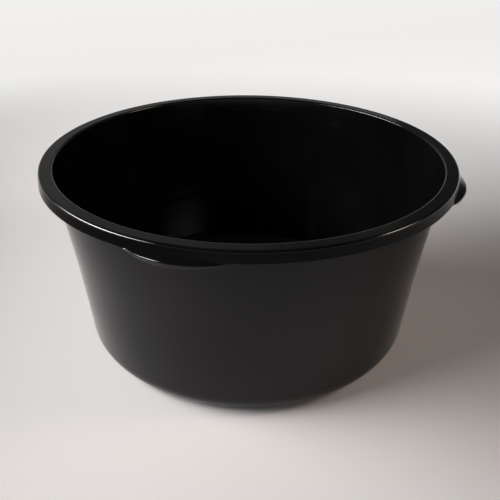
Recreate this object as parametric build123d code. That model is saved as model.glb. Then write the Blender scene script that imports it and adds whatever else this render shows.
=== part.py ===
from build123d import *
import math
import os

# A round mortar mixing tub, moulded in one piece from black plastic. Millimetres, +Z up.
# Origin: the middle of the base, on the ground. The four finger grips lie on +X, +Y, -X and -Y.
# Each named region of the moulding is a solid of its own, and neighbours meet face to face.

# Driving dimensions
RIM_RADIUS = 310.0          # outer edge of the rim's flat top
HEIGHT = 297.0              # ground to the rim's flat top
BASE_RADIUS = 256.0         # the wall's outer face carried down to the underside of the floor
WAIST_LEVEL = 143.0         # above this height the wall opens out a little wider
WAIST_RADIUS = 270.8        # the wall's outer face at that height
WAIST_ROUNDING = 1500.0     # a bend so gentle that no line shows
WALL_TOP_RADIUS = 292.5     # the wall's outer face where it runs into the rim
WALL = 3.0                  # side wall thickness
FLOOR = 3.5                 # floor thickness
HEEL_RADIUS = 33.5          # outside rounding between floor and wall
HEEL_MARGIN = 1.0           # straight stretch of floor and wall beyond the rounding

FOOT_HEIGHT = 3.0           # ring that lifts the floor off the ground
FOOT_RADIUS = 220.0
FOOT_WIDTH = 8.0
FOOT_EDGE_RADIUS = 1.0

RIM_BEND = 6.0              # height of the rim's rounded bend, down to the wall and skirt joints
RIM_THICKNESS = 3.0
RIM_INNER_RADIUS = 3.0      # rounding from the inside of the wall to the flat top
RIM_OUTER_RADIUS = 3.5      # rounding from the flat top to the skirt
RIM_HOLLOW_RADIUS = 2.5     # rounding under the flat top, beside the wall
RIM_CORNER_RADIUS = 1.0     # rounding under the flat top, beside the skirt
SKIRT = 2.8                 # skirt thickness
SKIRT_DEPTH = 16.7          # flat top to the skirt's lower edge
SKIRT_FLARE = 2.0           # how far the skirt's lower edge stands outside the flat top
SKIRT_EDGE_RADIUS = 0.9

SWELL_DEPTH = 11.5          # flat top to where a grip starts to swell out of the skirt
SWELL_THICKNESS = 2.8       # thickness of the swell, measured upright
GRIP_REACH = 322.0          # tub axis to the furthest point of a grip's face
GRIP_HALF_WIDTH = 63.0      # half the chord where the grip leaves the skirt
GRIP_HALF_ANGLE = 14.0      # half the sector of the rim that a grip node fills, in degrees
LIP_HEIGHT = 8.0            # the lip below the grip's face, at its middle
LIP_PROUD = 0.8             # the lip stands this far outside the grip and the skirt
LIP_WIDTH = 4.2
LIP_HALF_LENGTH = 68.0      # the lip runs on under the skirt on both sides of the swell
LIP_END_HEIGHT = 0.4        # what is left of the lip's height at its two ends

# Grips by the direction they face, and the stretches of skirt between them, in degrees from +X
GRIPS = {"right": 0, "back": 90, "left": 180, "front": 270}
SKIRTS = {"back_right": 45, "back_left": 135, "front_left": 225, "front_right": 315}

STANDING = (Align.CENTER, Align.CENTER, Align.MIN)      # a shape that stands on its own origin

# Levels and slopes that follow from them
FLOOR_UNDER = FOOT_HEIGHT
FLOOR_TOP = FLOOR_UNDER + FLOOR
JOINT_LEVEL = HEIGHT - RIM_BEND
SKIRT_LEVEL = HEIGHT - SKIRT_DEPTH
SWELL_LEVEL = HEIGHT - SWELL_DEPTH
LIP_LEVEL = SKIRT_LEVEL - LIP_HEIGHT
TAPER = (WAIST_RADIUS - BASE_RADIUS) / (WAIST_LEVEL - FLOOR_UNDER)              # below the waist
FLARE = (WALL_TOP_RADIUS - WAIST_RADIUS) / (JOINT_LEVEL - WAIST_LEVEL)          # above it
WALL_ACROSS = WALL * math.hypot(1, TAPER)           # wall thickness measured level
SKIRT_SLOPE = SKIRT_FLARE / SKIRT_DEPTH

# The heel takes up the wall as far as its rounding reaches
CORNER_HALF = (math.pi / 2 - math.atan(TAPER)) / 2
HEEL_REACH = HEEL_RADIUS * math.tan(CORNER_HALF) + HEEL_MARGIN
FLOOR_RADIUS = BASE_RADIUS - HEEL_REACH
HEEL_LEVEL = FLOOR_UNDER + HEEL_REACH


def wall_outer(level):
    if level < WAIST_LEVEL:
        return BASE_RADIUS + TAPER * (level - FLOOR_UNDER)
    return WAIST_RADIUS + FLARE * (level - WAIST_LEVEL)


def wall_inner(level):
    return wall_outer(level) - WALL_ACROSS


def skirt_outer(level):
    return RIM_RADIUS + SKIRT_SLOPE * (HEIGHT - level)


def skirt_inner(level):
    return skirt_outer(level) - SKIRT


# A grip's swell is a flat cone whose axis stands beside the tub's: it leaves the skirt at a
# point and widens downwards into a crescent-shaped ledge.
CHORD_PLACE = math.sqrt(skirt_outer(SKIRT_LEVEL) ** 2 - GRIP_HALF_WIDTH**2)
GRIP_RISE = GRIP_REACH - CHORD_PLACE
GRIP_ARC_RADIUS = (GRIP_HALF_WIDTH**2 + GRIP_RISE**2) / (2 * GRIP_RISE)
GRIP_AXIS = GRIP_REACH - GRIP_ARC_RADIUS


def turned(points, radii, start=0.0, arc=360.0):
    """Turn a closed outline of (radius, height) points about the tub's axis."""
    outline = Plane.XZ * FilletPolyline(*points, radius=radii, close=True)
    return Rot(0, 0, start) * revolve(make_face(outline), Axis.Z, revolution_arc=arc)


def frustum(low_radius, high_radius, low, high, offset=0.0):
    """A solid cone slice between two heights, its axis upright at x = offset."""
    cone = Cone(low_radius, high_radius, high - low, align=STANDING)
    return Pos(offset, 0, low) * cone


def disc(radius, low, high, offset=0.0):
    """A solid cylinder between two heights, its axis upright at x = offset."""
    return Pos(offset, 0, low) * Cylinder(radius, high - low, align=STANDING)


def floor_panel():
    return disc(FLOOR_RADIUS, FLOOR_UNDER, FLOOR_TOP)


def foot_ring():
    inner = FOOT_RADIUS - FOOT_WIDTH
    points = [(inner, 0), (FOOT_RADIUS, 0), (FOOT_RADIUS, FOOT_HEIGHT), (inner, FOOT_HEIGHT)]
    return turned(points, [FOOT_EDGE_RADIUS, FOOT_EDGE_RADIUS, 0, 0])


def heel():
    """The rounded corner between floor and wall."""
    inner_corner = wall_inner(FLOOR_TOP)
    inner_reach = min(inner_corner - FLOOR_RADIUS, HEEL_LEVEL - FLOOR_TOP) - HEEL_MARGIN
    points = [
        (FLOOR_RADIUS, FLOOR_UNDER),
        (BASE_RADIUS, FLOOR_UNDER),
        (wall_outer(HEEL_LEVEL), HEEL_LEVEL),
        (wall_inner(HEEL_LEVEL), HEEL_LEVEL),
        (inner_corner, FLOOR_TOP),
        (FLOOR_RADIUS, FLOOR_TOP),
    ]
    return turned(points, [0, HEEL_RADIUS, 0, 0, inner_reach / math.tan(CORNER_HALF), 0])


def side_wall():
    points = [
        (wall_inner(HEEL_LEVEL), HEEL_LEVEL),
        (wall_outer(HEEL_LEVEL), HEEL_LEVEL),
        (WAIST_RADIUS, WAIST_LEVEL),
        (wall_outer(JOINT_LEVEL), JOINT_LEVEL),
        (wall_inner(JOINT_LEVEL), JOINT_LEVEL),
        (wall_inner(WAIST_LEVEL), WAIST_LEVEL),
    ]
    return turned(points, [0, 0, WAIST_ROUNDING, 0, 0, WAIST_ROUNDING + WALL])


def rim_flange():
    """The rim's flat top with its bends: an upside-down channel that joins wall and skirt."""
    under = HEIGHT - RIM_THICKNESS
    points = [
        (wall_outer(JOINT_LEVEL), JOINT_LEVEL),
        (wall_outer(under), under),
        (skirt_inner(under), under),
        (skirt_inner(JOINT_LEVEL), JOINT_LEVEL),
        (skirt_outer(JOINT_LEVEL), JOINT_LEVEL),
        (RIM_RADIUS, HEIGHT),
        (wall_inner(HEIGHT), HEIGHT),
        (wall_inner(JOINT_LEVEL), JOINT_LEVEL),
    ]
    bends = [0, RIM_HOLLOW_RADIUS, RIM_CORNER_RADIUS, 0, 0, RIM_OUTER_RADIUS, RIM_INNER_RADIUS, 0]
    return turned(points, bends)


def rim_skirt(middle):
    """The skirt from one grip to the next, centred on the given direction."""
    arc = 90 - 2 * GRIP_HALF_ANGLE
    points = [
        (skirt_inner(SKIRT_LEVEL), SKIRT_LEVEL),
        (skirt_outer(SKIRT_LEVEL), SKIRT_LEVEL),
        (skirt_outer(JOINT_LEVEL), JOINT_LEVEL),
        (skirt_inner(JOINT_LEVEL), JOINT_LEVEL),
    ]
    edges = [SKIRT_EDGE_RADIUS, SKIRT_EDGE_RADIUS, 0, 0]
    return turned(points, edges, middle - arc / 2, arc)


def grip_sector(low, high):
    """The wedge of space between the stretches of skirt beside a grip, facing +X."""
    beyond = 2 * GRIP_REACH
    points = [(0, low), (beyond, low), (beyond, high), (0, high)]
    return turned(points, 0, -GRIP_HALF_ANGLE, 2 * GRIP_HALF_ANGLE)


def grip():
    """The skirt where it swells out into a finger grip, facing +X."""
    low, high = SKIRT_LEVEL, JOINT_LEVEL
    touching = skirt_outer(SWELL_LEVEL) - GRIP_AXIS
    spread = (GRIP_ARC_RADIUS - touching) / (SWELL_LEVEL - low)
    under = GRIP_ARC_RADIUS - spread * SWELL_THICKNESS
    outside = frustum(skirt_outer(low), skirt_outer(high), low, high)
    outside += frustum(GRIP_ARC_RADIUS, touching, low, SWELL_LEVEL, GRIP_AXIS)
    hollow = frustum(skirt_inner(low), skirt_inner(high), low, high)
    hollow += frustum(under, touching, low, SWELL_LEVEL - SWELL_THICKNESS, GRIP_AXIS)
    return (outside - hollow) & grip_sector(low, high)


def grip_lip():
    """The lip under a grip's face and the skirt beside it, deepest at its middle, facing +X."""
    low, high = LIP_LEVEL, SKIRT_LEVEL
    around, swell = skirt_outer(high) + LIP_PROUD, GRIP_ARC_RADIUS + LIP_PROUD
    band = disc(around, low, high) + disc(swell, low, high, GRIP_AXIS)
    band -= disc(around - LIP_WIDTH, low, high) + disc(swell - LIP_WIDTH, low, high, GRIP_AXIS)
    fall = LIP_HEIGHT - LIP_END_HEIGHT
    arch_radius = (LIP_HALF_LENGTH**2 + fall**2) / (2 * fall)
    arch = Pos(GRIP_AXIS, 0, low + arch_radius) * Rot(0, 90, 0)
    arch *= Cylinder(arch_radius, GRIP_REACH, align=STANDING)
    length = Pos(GRIP_AXIS, 0, low) * Box(
        GRIP_REACH, 2 * LIP_HALF_LENGTH, LIP_HEIGHT, align=(Align.MIN, Align.CENTER, Align.MIN)
    )
    return band & length & arch


def save(node, shape):
    export_step(shape.solid(), f"parts/{node}.step")


os.makedirs("parts", exist_ok=True)
save("floor_panel", floor_panel())
save("foot_ring", foot_ring())
save("heel", heel())
save("side_wall", side_wall())
save("rim_flange", rim_flange())
for place, middle in SKIRTS.items():
    save(f"rim_skirt_{place}", rim_skirt(middle))
for place, facing in GRIPS.items():
    save(f"grip_{place}", Rot(0, 0, facing) * grip())
    save(f"grip_lip_{place}", Rot(0, 0, facing) * grip_lip())
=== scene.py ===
import math

import bmesh
import bpy
from mathutils import Matrix, Vector


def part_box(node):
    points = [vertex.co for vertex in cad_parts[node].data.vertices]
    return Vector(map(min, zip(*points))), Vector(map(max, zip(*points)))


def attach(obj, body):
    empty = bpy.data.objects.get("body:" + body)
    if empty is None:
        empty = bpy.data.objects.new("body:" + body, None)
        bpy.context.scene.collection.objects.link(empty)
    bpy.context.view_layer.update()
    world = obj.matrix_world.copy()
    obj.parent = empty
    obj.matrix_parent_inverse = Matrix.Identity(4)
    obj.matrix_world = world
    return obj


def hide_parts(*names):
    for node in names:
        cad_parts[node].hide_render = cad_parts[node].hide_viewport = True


# The looks of a round mortar mixing tub: one black plastic moulding, rebuilt region by region
# around its CAD solids. Metres, +Z up, the tub's axis on Z and the ground at z = 0.

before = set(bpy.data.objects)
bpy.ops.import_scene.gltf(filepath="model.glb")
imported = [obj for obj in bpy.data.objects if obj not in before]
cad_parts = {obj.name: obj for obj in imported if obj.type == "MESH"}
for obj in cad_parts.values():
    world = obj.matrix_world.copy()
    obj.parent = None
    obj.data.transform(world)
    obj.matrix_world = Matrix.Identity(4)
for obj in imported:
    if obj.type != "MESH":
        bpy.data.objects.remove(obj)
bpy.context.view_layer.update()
MM = 0.001

# Sizes from the CAD nodes
FLOOR_LOW, FLOOR_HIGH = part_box("floor_panel")
FOOT_LOW, FOOT_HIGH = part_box("foot_ring")
HEEL_LOW, HEEL_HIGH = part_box("heel")
WALL_LOW, WALL_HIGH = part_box("side_wall")
RIM_LOW, RIM_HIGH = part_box("rim_flange")
GRIP_LOW, GRIP_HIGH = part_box("grip_right")
LIP_LOW, LIP_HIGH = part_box("grip_lip_right")

FLOOR_UNDER, FLOOR_TOP = FLOOR_LOW.z, FLOOR_HIGH.z
FLOOR_RADIUS = FLOOR_HIGH.x
FOOT_RADIUS = FOOT_HIGH.x
HEEL_LEVEL = HEEL_HIGH.z
JOINT_LEVEL = WALL_HIGH.z
HEIGHT = RIM_HIGH.z
SKIRT_LEVEL = GRIP_LOW.z
LIP_LEVEL = LIP_LOW.z
GRIP_REACH = GRIP_HIGH.x
LIP_HALF_LENGTH = LIP_HIGH.y

# Sizes that a node's box doesn't show
WALL = 3.0 * MM
WAIST_LEVEL = 143.0 * MM
WAIST_RADIUS = 270.8 * MM
WAIST_ROUNDING = 1500.0 * MM
HEEL_RADIUS = 33.5 * MM
FOOT_WIDTH = 8.0 * MM
RIM_THICKNESS = 3.0 * MM
SKIRT = 2.8 * MM
SKIRT_FLARE = 2.0 * MM
FOOT_EDGE_RADIUS = 1.0 * MM
HEEL_MARGIN = 1.0 * MM        # flat left beside the heel's inner rounding
RIM_OUTER_RADIUS = 3.5 * MM
RIM_INNER_RADIUS = 3.0 * MM
RIM_HOLLOW_RADIUS = 2.5 * MM  # under the rim, next to the wall
RIM_CORNER_RADIUS = 1.0 * MM  # under the rim, next to the skirt
GRIP_HALF_ANGLE = math.radians(14.0)
GRIP_HALF_WIDTH = 63.0 * MM
SWELL_DEPTH = 11.5 * MM
SWELL_THICKNESS = 2.8 * MM
EDGE_BLEND = 3.0 * MM         # how softly a grip's ledge turns down into its lip
LIP_PROUD = 0.8 * MM
LIP_WIDTH = 4.2 * MM
LIP_END_HEIGHT = 0.4 * MM
LIP_LEAN = 2.6 * MM           # how far a lip's face draws in towards its lower edge
EDGE_ROUNDING = 0.9 * MM      # the lower edges of the skirt, grips and lips

TAPER = (WAIST_RADIUS - HEEL_HIGH.x) / (WAIST_LEVEL - HEEL_LEVEL)
FLARE = (WALL_HIGH.x - WAIST_RADIUS) / (JOINT_LEVEL - WAIST_LEVEL)
SKIRT_SLOPE = SKIRT_FLARE / (HEIGHT - SKIRT_LEVEL)
RIM_RADIUS = RIM_HIGH.x - SKIRT_SLOPE * (HEIGHT - JOINT_LEVEL)
WALL_ACROSS = WALL * math.hypot(1, TAPER)
TURN_STEPS = 480            # steps in a full turn
GRIP_STEPS = 72             # steps across a grip
SKIRT_LEVELS = 14           # steps down a grip's face, above its ledge
LEDGE_LEVELS = 24           # steps down its ledge
LIP_LEVELS = 16             # steps down a lip's face
WORN_BELOW = 5.0 * MM       # only roundings smaller than this are edges that wear
ARC_STEPS = 10              # steps round a small rounding
RUN_STEP = 12.0 * MM        # longest step along a straight run of an outline
HOLD = 0.4 * MM             # a point this close to a run's ends keeps its shading flat
SHARP_ANGLE = math.radians(30)
MERGE_DISTANCE = 1e-6
CREASE_HALVINGS = 24        # halvings that find where a grip's ledge starts
BLEND_GROWTH = 1.2          # a ledge's blend against how far the grip stands out
SMALLEST_BLEND = 0.3 * MM
END_MARGIN = 1e-6           # radians kept from a lip's very end, where its depth is lowest

GRIPS = {"right": 0, "back": 90, "left": 180, "front": 270}
SKIRTS = {"back_right": 45, "back_left": 135, "front_left": 225, "front_right": 315}


def wall_outer(level):
    if level < WAIST_LEVEL:
        return HEEL_HIGH.x + TAPER * (level - HEEL_LEVEL)
    return WAIST_RADIUS + FLARE * (level - WAIST_LEVEL)


def wall_inner(level):
    return wall_outer(level) - WALL_ACROSS


def skirt_outer(level):
    return RIM_RADIUS + SKIRT_SLOPE * (HEIGHT - level)


SWELL_LEVEL = HEIGHT - SWELL_DEPTH
CHORD_PLACE = math.sqrt(skirt_outer(SKIRT_LEVEL) ** 2 - GRIP_HALF_WIDTH**2)
GRIP_RISE = GRIP_REACH - CHORD_PLACE
GRIP_ARC_RADIUS = (GRIP_HALF_WIDTH**2 + GRIP_RISE**2) / (2 * GRIP_RISE)
GRIP_AXIS = GRIP_REACH - GRIP_ARC_RADIUS


# Mesh building

def corner_arc(before, corner, after, radius):
    """Points and edge-wear weights round one corner of an outline."""
    if radius <= 0:
        return [(corner[0], corner[1], 0.0)]
    point = Vector(corner)
    one, two = Vector(before) - point, Vector(after) - point
    half = one.angle(two) / 2
    reach = radius / math.tan(half)
    start, end = point + one.normalized() * reach, point + two.normalized() * reach
    centre = point + (one.normalized() + two.normalized()).normalized() * radius / math.sin(half)
    spread = math.pi - 2 * half
    wear = 1.0 if radius < WORN_BELOW else 0.0
    found = []
    for i in range(ARC_STEPS + 1):
        t = i / ARC_STEPS
        a, b = math.sin((1 - t) * spread), math.sin(t * spread)
        place = centre + ((start - centre) * a + (end - centre) * b) / math.sin(spread)
        found.append((place.x, place.y, wear * math.sin(math.pi * t)))
    return found


def run_stops(length):
    """Fractions along a straight run at which its points lie, the first end included."""
    if length < 3 * HOLD:
        return [0.0]
    steps = int(length / RUN_STEP) + 1
    return [0.0, HOLD / length] + [k / steps for k in range(1, steps)] + [1 - HOLD / length]


def outline(corners):
    """A closed outline from (radius, height, rounding) corners, with long runs divided."""
    count = len(corners)
    points = []
    for i, (r, z, rounding) in enumerate(corners):
        before, after = corners[i - 1][:2], corners[(i + 1) % count][:2]
        points += corner_arc(before, (r, z), after, rounding)
    full = []
    for i, (r, z, wear) in enumerate(points):
        nr, nz, _ = points[(i + 1) % len(points)]
        for t in run_stops(math.hypot(nr - r, nz - z)):
            full.append((r + (nr - r) * t, z + (nz - z) * t, 0.0 if t else wear))
    return full


def sweep(name, outline_at, angles, closed):
    """A closed mesh: one outline for each angle about the tub's axis, joined by quads."""
    mesh = bpy.data.meshes.new(name)
    work = bmesh.new()
    wear_layer = work.verts.layers.float.new("edge_wear")
    rings = []
    for angle in angles:
        ring = []
        for r, z, wear in outline_at(angle):
            vertex = work.verts.new((r * math.cos(angle), r * math.sin(angle), z))
            vertex[wear_layer] = wear
            ring.append(vertex)
        rings.append(ring)
    pairs = list(zip(rings, rings[1:])) + ([(rings[-1], rings[0])] if closed else [])
    for ring, following in pairs:
        for j in range(len(ring)):
            k = (j + 1) % len(ring)
            work.faces.new((ring[j], following[j], following[k], ring[k]))
    if not closed:
        work.faces.new(rings[0])
        work.faces.new(list(reversed(rings[-1])))
    bmesh.ops.recalc_face_normals(work, faces=work.faces)
    work.to_mesh(mesh)
    work.free()
    mesh.polygons.foreach_set("use_smooth", [True] * len(mesh.polygons))
    mesh.set_sharp_from_angle(angle=SHARP_ANGLE)
    made = bpy.data.objects.new(name, mesh)
    bpy.context.scene.collection.objects.link(made)
    return made


def full_turn():
    return [math.tau * i / TURN_STEPS for i in range(TURN_STEPS)]


def part_turn(middle, half, steps):
    return [middle + half * (2 * i / steps - 1) for i in range(steps + 1)]


def turned(name, corners):
    points = outline(corners)
    return sweep(name, lambda angle: points, full_turn(), True)


# The moulding's regions

def make_floor():
    """The floor panel: a plate whose points on the tub's axis are merged into one, top and bottom."""
    corners = [
        (0.0, FLOOR_UNDER, 0),
        (FLOOR_RADIUS, FLOOR_UNDER, 0),
        (FLOOR_RADIUS, FLOOR_TOP, 0),
        (0.0, FLOOR_TOP, 0),
    ]
    made = turned("moulded_floor", corners)
    work = bmesh.new()
    work.from_mesh(made.data)
    bmesh.ops.remove_doubles(work, verts=work.verts, dist=MERGE_DISTANCE)
    bmesh.ops.dissolve_degenerate(work, edges=work.edges, dist=MERGE_DISTANCE)
    work.to_mesh(made.data)
    work.free()
    return made


def make_foot():
    inner = FOOT_RADIUS - FOOT_WIDTH
    top = FOOT_HIGH.z
    return turned("moulded_foot", [
        (inner, 0, FOOT_EDGE_RADIUS),
        (FOOT_RADIUS, 0, FOOT_EDGE_RADIUS),
        (FOOT_RADIUS, top, 0),
        (inner, top, 0),
    ])


def make_heel():
    base = wall_outer(FLOOR_UNDER)
    inner_corner = wall_inner(FLOOR_TOP)
    half = (math.pi / 2 - math.atan(TAPER)) / 2
    reach = min(inner_corner - FLOOR_RADIUS, HEEL_LEVEL - FLOOR_TOP) - HEEL_MARGIN
    return turned("moulded_heel", [
        (FLOOR_RADIUS, FLOOR_UNDER, 0),
        (base, FLOOR_UNDER, HEEL_RADIUS),
        (wall_outer(HEEL_LEVEL), HEEL_LEVEL, 0),
        (wall_inner(HEEL_LEVEL), HEEL_LEVEL, 0),
        (inner_corner, FLOOR_TOP, reach / math.tan(half)),
        (FLOOR_RADIUS, FLOOR_TOP, 0),
    ])


def make_wall():
    return turned("moulded_wall", [
        (wall_inner(HEEL_LEVEL), HEEL_LEVEL, 0),
        (wall_outer(HEEL_LEVEL), HEEL_LEVEL, 0),
        (WAIST_RADIUS, WAIST_LEVEL, WAIST_ROUNDING),
        (wall_outer(JOINT_LEVEL), JOINT_LEVEL, 0),
        (wall_inner(JOINT_LEVEL), JOINT_LEVEL, 0),
        (wall_inner(WAIST_LEVEL), WAIST_LEVEL, WAIST_ROUNDING + WALL),
    ])


def make_rim():
    under = HEIGHT - RIM_THICKNESS
    return turned("moulded_rim", [
        (wall_outer(JOINT_LEVEL), JOINT_LEVEL, 0),
        (wall_outer(under), under, RIM_HOLLOW_RADIUS),
        (skirt_outer(under) - SKIRT, under, RIM_CORNER_RADIUS),
        (skirt_outer(JOINT_LEVEL) - SKIRT, JOINT_LEVEL, 0),
        (skirt_outer(JOINT_LEVEL), JOINT_LEVEL, 0),
        (RIM_RADIUS, HEIGHT, RIM_OUTER_RADIUS),
        (wall_inner(HEIGHT), HEIGHT, RIM_INNER_RADIUS),
        (wall_inner(JOINT_LEVEL), JOINT_LEVEL, 0),
    ])


def make_skirt(place, middle):
    points = outline([
        (skirt_outer(SKIRT_LEVEL) - SKIRT, SKIRT_LEVEL, EDGE_ROUNDING),
        (skirt_outer(SKIRT_LEVEL), SKIRT_LEVEL, EDGE_ROUNDING),
        (skirt_outer(JOINT_LEVEL), JOINT_LEVEL, 0),
        (skirt_outer(JOINT_LEVEL) - SKIRT, JOINT_LEVEL, 0),
    ])
    half = math.pi / 4 - GRIP_HALF_ANGLE
    angles = part_turn(math.radians(middle), half, int(TURN_STEPS * half / math.pi))
    return sweep(f"moulded_skirt_{place}", lambda angle: points, angles, False)


def swell(angle, level):
    """Radius of a grip's swell at an angle from its middle: it widens below its own level."""
    touching = skirt_outer(SWELL_LEVEL) - GRIP_AXIS
    spread = (GRIP_ARC_RADIUS - touching) / (SWELL_LEVEL - SKIRT_LEVEL)
    arc = touching + spread * (SWELL_LEVEL - level)
    across = GRIP_AXIS * math.sin(angle)
    return GRIP_AXIS * math.cos(angle) + math.sqrt(arc**2 - across**2)


def closeness(a, b, blend):
    """1 where two lengths are equal, falling to 0 where they are a blend length apart."""
    return max(blend - abs(a - b), 0.0) / blend


def smooth_min(a, b, blend):
    """The smaller of two lengths, eased over a blend length where they cross."""
    return min(a, b) - closeness(a, b, blend) ** 2 * blend / 4


def lip_presence(angle):
    """1 along a grip's middle, easing to 0 at its lip's ends."""
    place = min(abs(skirt_outer(SKIRT_LEVEL) * math.sin(angle)) / LIP_HALF_LENGTH, 1.0)
    return (1 - place**4) ** 2


def lip_outer(angle):
    face = max(swell(angle, SKIRT_LEVEL), skirt_outer(SKIRT_LEVEL))
    return face + LIP_PROUD * lip_presence(angle)


def edge_low(angle):
    """The moulding's lowest level across a grip: an arc under its lip, and else the skirt's."""
    across = skirt_outer(SKIRT_LEVEL) * math.sin(angle)
    if abs(across) > LIP_HALF_LENGTH:
        return SKIRT_LEVEL
    fall = (SKIRT_LEVEL - LIP_LEVEL) - LIP_END_HEIGHT
    arc = (LIP_HALF_LENGTH**2 + fall**2) / (2 * fall)
    return LIP_LEVEL + arc - math.sqrt(arc**2 - across**2)


def rounded_off(height):
    """How far an outer face draws in at a height above its rounded lower edge."""
    up = max(1 - height / EDGE_ROUNDING, 0.0)
    return EDGE_ROUNDING * (1 - math.sqrt(1 - min(up, 1.0) ** 2))


def crease_level(angle):
    """The level where a grip's ledge leaves the skirt."""
    low, high = SKIRT_LEVEL, SWELL_LEVEL
    for _ in range(CREASE_HALVINGS):
        level = (low + high) / 2
        if swell(angle, level) > skirt_outer(level):
            low = level
        else:
            high = level
    return max(low, SKIRT_LEVEL + EDGE_ROUNDING)


def grip_outer(angle, level):
    """Radius and edge wear of a grip's outer face: skirt, ledge, then a rounded edge to the lip."""
    if level > SWELL_LEVEL:
        return skirt_outer(level), 0.0
    ledge = max(skirt_outer(level), swell(angle, level))
    stand_out = swell(angle, SKIRT_LEVEL) - skirt_outer(SKIRT_LEVEL)
    blend = min(max(stand_out * BLEND_GROWTH, SMALLEST_BLEND), EDGE_BLEND)
    edge = lip_outer(angle)
    return smooth_min(ledge, edge, blend), closeness(ledge, edge, blend)


def grip_inner(angle, level):
    return max(skirt_outer(level) - SKIRT, swell(angle, level + SWELL_THICKNESS))


def spaced(start, end, steps):
    return [start + (end - start) * i / steps for i in range(steps + 1)]


def make_grip(place, facing):
    middle = math.radians(facing)

    def section(angle):
        off = angle - middle
        crease = crease_level(off)
        down = spaced(JOINT_LEVEL, crease, SKIRT_LEVELS)
        down += spaced(crease, SKIRT_LEVEL, LEDGE_LEVELS)[1:]
        low = edge_low(off)
        face = []
        for z in down:
            r, wear = grip_outer(off, z)
            face.append((r - rounded_off(z - low), z, wear))
        return face + [(grip_inner(off, z), z, 0.0) for z in reversed(down)]

    angles = part_turn(middle, GRIP_HALF_ANGLE, GRIP_STEPS)
    return sweep(f"moulded_grip_{place}", section, angles, False)


def make_lip(place, facing):
    """The lip along the grip's lower edge, its depth falling off to both ends."""
    middle = math.radians(facing)
    half = math.asin(LIP_HALF_LENGTH / skirt_outer(SKIRT_LEVEL)) - END_MARGIN

    def section(angle):
        off = angle - middle
        low = edge_low(off)
        lean = LIP_LEAN * lip_presence(off) / (SKIRT_LEVEL - low)
        points = []
        for z in spaced(SKIRT_LEVEL, low, LIP_LEVELS):
            r, wear = grip_outer(off, z)
            points.append((r - lean * (SKIRT_LEVEL - z) - rounded_off(z - low), z, wear))
        inner = lip_outer(off) - LIP_WIDTH
        return points + [(inner, low, 0.0), (inner, SKIRT_LEVEL, 0.0)]

    angles = part_turn(middle, half, GRIP_STEPS)
    return sweep(f"moulded_lip_{place}", section, angles, False)


# Materials

def node(tree, kind, place, **values):
    made = tree.nodes.new(kind)
    made.location = place
    for key, value in values.items():
        setattr(made, key, value)
    return made


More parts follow.
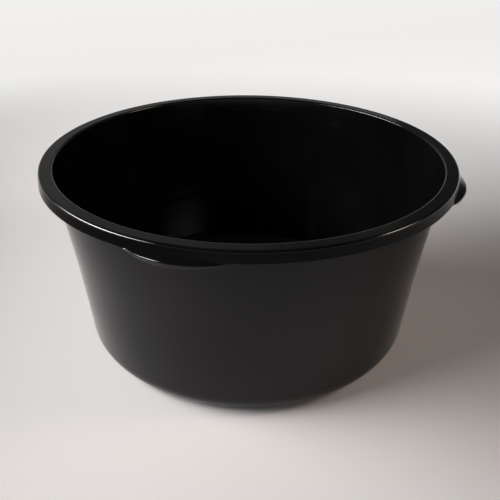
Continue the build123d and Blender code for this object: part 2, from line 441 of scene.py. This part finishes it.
def black_plastic():
    """Glossy black polyethylene: flow-marked, finely grained, dusty, and dulled at its edges."""
    material = bpy.data.materials.new("black_moulded_plastic")
    material.use_nodes = True
    tree = material.node_tree
    link = tree.links.new
    shader = tree.nodes["Principled BSDF"]
    shader.inputs["Specular IOR Level"].default_value = 0.25
    place = node(tree, "ShaderNodeTexCoord", (-1800, 0))

    def noise(scale, detail, spot, stretch=(1, 1, 1)):
        mapping = node(tree, "ShaderNodeMapping", (spot[0] - 200, spot[1]))
        mapping.inputs["Scale"].default_value = stretch
        made = node(tree, "ShaderNodeTexNoise", spot)
        made.inputs["Scale"].default_value = scale
        made.inputs["Detail"].default_value = detail
        link(place.outputs["Object"], mapping.inputs["Vector"])
        link(mapping.outputs["Vector"], made.inputs["Vector"])
        return made.outputs["Fac"]

    def remap(source, low, high, to_low, to_high, spot):
        made = node(tree, "ShaderNodeMapRange", spot)
        made.inputs["From Min"].default_value = low
        made.inputs["From Max"].default_value = high
        made.inputs["To Min"].default_value = to_low
        made.inputs["To Max"].default_value = to_high
        link(source, made.inputs["Value"])
        return made.outputs["Result"]

    def combine(operation, one, other, spot):
        made = node(tree, "ShaderNodeMath", spot, operation=operation)
        link(one, made.inputs[0])
        link(other, made.inputs[1])
        return made.outputs["Value"]

    def bump(height, strength, distance, under, spot):
        made = node(tree, "ShaderNodeBump", spot)
        made.inputs["Strength"].default_value = strength
        made.inputs["Distance"].default_value = distance
        link(height, made.inputs["Height"])
        if under:
            link(under, made.inputs["Normal"])
        return made.outputs["Normal"]

    clouds = noise(7.0, 3.0, (-1300, 600))
    flow = noise(6.0, 1.5, (-1300, -900), stretch=(1, 1, 0.15))
    grain = noise(1400.0, 2.0, (-1300, -600))
    chips = noise(420.0, 4.0, (-1300, 300))
    scuffs = noise(38.0, 6.0, (-1300, 0), stretch=(1, 1, 3))
    dust = noise(2600.0, 1.0, (-1300, -300))

    edge = node(tree, "ShaderNodeAttribute", (-1300, 900), attribute_name="edge_wear")
    chipped = remap(chips, 0.56, 0.74, 0.0, 1.0, (-1000, 300))
    worn = combine("MULTIPLY", edge.outputs["Fac"], chipped, (-800, 500))
    scuffed = remap(scuffs, 0.60, 0.72, 0.0, 1.0, (-1000, 0))
    specks = remap(dust, 0.74, 0.80, 0.0, 0.35, (-1000, -300))
    marks = combine("MAXIMUM", worn, specks, (-600, 400))

    body = node(tree, "ShaderNodeValToRGB", (-800, 800))
    body.color_ramp.elements[0].position = 0.35
    body.color_ramp.elements[0].color = (0.0012, 0.0012, 0.0012, 1)
    body.color_ramp.elements[1].position = 0.75
    body.color_ramp.elements[1].color = (0.0022, 0.0021, 0.0020, 1)
    link(clouds, body.inputs["Fac"])
    paint = node(tree, "ShaderNodeMix", (-400, 600), data_type="RGBA")
    paint.inputs["B"].default_value = (0.006, 0.0058, 0.0055, 1)
    link(marks, paint.inputs["Factor"])
    link(body.outputs["Color"], paint.inputs["A"])
    link(paint.outputs["Result"], shader.inputs["Base Color"])

    gloss = remap(clouds, 0.3, 0.7, 0.08, 0.13, (-800, 200))
    dulled = combine("MAXIMUM", scuffed, worn, (-600, 150))
    duller = remap(dulled, 0.0, 1.0, 0.0, 0.10, (-400, 150))
    link(combine("ADD", gloss, duller, (-200, 200)), shader.inputs["Roughness"])

    normal = bump(flow, 0.6, 0.004, None, (-800, -900))
    normal = bump(grain, 0.15, 0.0001, normal, (-600, -700))
    normal = bump(marks, 0.15, 0.0001, normal, (-400, -500))
    link(normal, shader.inputs["Normal"])
    return material


def plain(name, colour, roughness):
    material = bpy.data.materials.new(name)
    material.use_nodes = True
    shader = material.node_tree.nodes["Principled BSDF"]
    shader.inputs["Base Color"].default_value = (*colour, 1)
    shader.inputs["Roughness"].default_value = roughness
    return material


# The stage: floor, light and camera. Lengths are in metres and camera angles are read off the photo.

CAMERA_AZIMUTH = math.radians(16.5)
CAMERA_REACH = 0.9519        # from the tub's axis
CAMERA_HEIGHT = 0.6565
CAMERA_PITCH = math.radians(29.12)
CAMERA_YAW = math.radians(0.17)
CAMERA_ROLL = math.radians(0.54)
LENS = 47.57
SWEEP_RADIUS = 9.0           # the stage is a disc that turns up into a wall
SWEEP_HEIGHT = 1.9
SWEEP_SIDES = 96
WALL_FADE = 0.05             # what is left of the glow at the top of the wall
GLOW_SHIFT = (0, 1.0, 0)     # added to a stage point: the glow grows away from a spot in front
GLOW_START, GLOW_END = 1.3, 2.8
GLOW_NEAR, GLOW_FAR = 0.03, 0.80
AIM_HEIGHT = 0.2             # the softboxes face this point of the tub's axis
WORLD_STRENGTH = 0.06


def facing_camera(x, y, z):
    """A point given as seen from the camera's side: x to its right, y away from it."""
    return Matrix.Rotation(CAMERA_AZIMUTH, 3, "Z") @ Vector((x, y, z))


def pale_floor():
    """Matt pale paper that glows, least in front of the tub and fading up the sweep's wall."""
    material = plain("pale_floor", (0.42, 0.415, 0.41), 0.9)
    tree = material.node_tree
    shader = tree.nodes["Principled BSDF"]
    shader.inputs["Emission Color"].default_value = (1.0, 0.99, 0.98, 1)
    place = node(tree, "ShaderNodeTexCoord", (-800, 0))
    shift = node(tree, "ShaderNodeVectorMath", (-700, 0), operation="ADD")
    shift.inputs[1].default_value = GLOW_SHIFT
    far = node(tree, "ShaderNodeVectorMath", (-550, 0), operation="LENGTH")
    glow = node(tree, "ShaderNodeMapRange", (-400, 0), interpolation_type="SMOOTHSTEP")
    glow.inputs["From Min"].default_value = GLOW_START
    glow.inputs["From Max"].default_value = GLOW_END
    glow.inputs["To Min"].default_value = GLOW_NEAR
    glow.inputs["To Max"].default_value = GLOW_FAR
    level = node(tree, "ShaderNodeSeparateXYZ", (-600, -200))
    fade = node(tree, "ShaderNodeMapRange", (-400, -200), interpolation_type="SMOOTHSTEP")
    fade.inputs["From Max"].default_value = SWEEP_HEIGHT
    fade.inputs["To Min"].default_value = 1.0
    fade.inputs["To Max"].default_value = WALL_FADE
    strength = node(tree, "ShaderNodeMath", (-200, 0), operation="MULTIPLY")
    tree.links.new(place.outputs["Object"], shift.inputs[0])
    tree.links.new(shift.outputs["Vector"], far.inputs[0])
    tree.links.new(far.outputs["Value"], glow.inputs["Value"])
    tree.links.new(place.outputs["Object"], level.inputs["Vector"])
    tree.links.new(level.outputs["Z"], fade.inputs["Value"])
    tree.links.new(glow.outputs["Result"], strength.inputs[0])
    tree.links.new(fade.outputs["Result"], strength.inputs[1])
    tree.links.new(strength.outputs["Value"], shader.inputs["Emission Strength"])
    return material


def make_floor_stage():
    """The ground, a wide disc that turns up into a wall; its own Y runs away from the camera."""
    mesh = bpy.data.meshes.new("stage_floor")
    work = bmesh.new()
    turns = [math.tau * side / SWEEP_SIDES for side in range(SWEEP_SIDES)]
    foot, top = [
        [work.verts.new((SWEEP_RADIUS * math.cos(t), SWEEP_RADIUS * math.sin(t), z)) for t in turns]
        for z in (0, SWEEP_HEIGHT)
    ]
    work.faces.new(foot)
    for side in range(SWEEP_SIDES):
        work.faces.new((foot[side - 1], top[side - 1], top[side], foot[side]))
    work.to_mesh(mesh)
    work.free()
    made = bpy.data.objects.new("stage_floor", mesh)
    made.rotation_euler.z = CAMERA_AZIMUTH
    bpy.context.scene.collection.objects.link(made)
    mesh.materials.append(pale_floor())


def softbox(name, azimuth, elevation, distance, size, radiance, colour=(1, 1, 1), spread=180):
    """A rectangular light aimed at the tub; azimuth runs from the camera's right, in degrees."""
    turn, rise = math.radians(azimuth), math.radians(elevation)
    aim = Vector((0, 0, AIM_HEIGHT))
    out = facing_camera(
        math.cos(turn) * math.cos(rise), math.sin(turn) * math.cos(rise), math.sin(rise)
    )
    data = bpy.data.lights.new(name, "AREA")
    data.shape = "RECTANGLE"
    data.size, data.size_y = size
    data.energy = radiance * math.pi * size[0] * size[1]
    data.color = colour
    data.spread = math.radians(spread)
    made = bpy.data.objects.new(name, data)
    made.location = aim + out * distance
    made.rotation_euler = (-out).to_track_quat("-Z", "Y").to_euler()
    made.visible_camera = False
    bpy.context.scene.collection.objects.link(made)


def make_light():
    world = bpy.data.worlds.new("studio")
    bpy.context.scene.world = world
    world.use_nodes = True
    background = world.node_tree.nodes["Background"]
    background.inputs["Color"].default_value = (1.0, 0.98, 0.95, 1)
    background.inputs["Strength"].default_value = WORLD_STRENGTH
    softbox("window_left", 186, 30, 1.5, (1.9, 0.32), 9.0, (1.0, 0.965, 0.965), 68)
    softbox("lamp_right", 353, 33, 2.0, (0.6, 0.45), 1.6, (1.0, 0.80, 0.66), 44)
    softbox("backdrop", 108, 18, 4.0, (5.0, 2.2), 0.2)


def make_camera():
    forward = Vector((math.sin(CAMERA_YAW), math.cos(CAMERA_YAW), 0)) * math.cos(CAMERA_PITCH)
    forward.z = -math.sin(CAMERA_PITCH)
    right = Vector((math.cos(CAMERA_YAW), -math.sin(CAMERA_YAW), 0))
    up = right.cross(forward)
    tilted_right = right * math.cos(CAMERA_ROLL) + up * math.sin(CAMERA_ROLL)
    tilted_up = up * math.cos(CAMERA_ROLL) - right * math.sin(CAMERA_ROLL)
    turn = Matrix.Rotation(CAMERA_AZIMUTH, 4, "Z")
    facing = Matrix((tilted_right, tilted_up, -forward)).transposed().to_4x4()
    spot = Matrix.Translation((0, -CAMERA_REACH, CAMERA_HEIGHT))
    data = bpy.data.cameras.new("camera")
    data.lens = LENS
    camera = bpy.data.objects.new("camera", data)
    camera.matrix_world = turn @ spot @ facing
    bpy.context.scene.collection.objects.link(camera)
    bpy.context.scene.camera = camera


make_camera()
make_light()
make_floor_stage()

PLASTIC = black_plastic()


def place_piece(piece, *nodes):
    """Give a finished piece its material and body, and let it stand for its CAD nodes."""
    piece.data.materials.append(PLASTIC)
    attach(piece, "root")
    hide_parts(*nodes)


place_piece(make_floor(), "floor_panel")
place_piece(make_foot(), "foot_ring")
place_piece(make_heel(), "heel")
place_piece(make_wall(), "side_wall")
place_piece(make_rim(), "rim_flange")
for name, middle in SKIRTS.items():
    place_piece(make_skirt(name, middle), f"rim_skirt_{name}")
for name, facing in GRIPS.items():
    place_piece(make_grip(name, facing), f"grip_{name}")
    place_piece(make_lip(name, facing), f"grip_lip_{name}")

bpy.context.scene.view_settings.view_transform = "Standard"
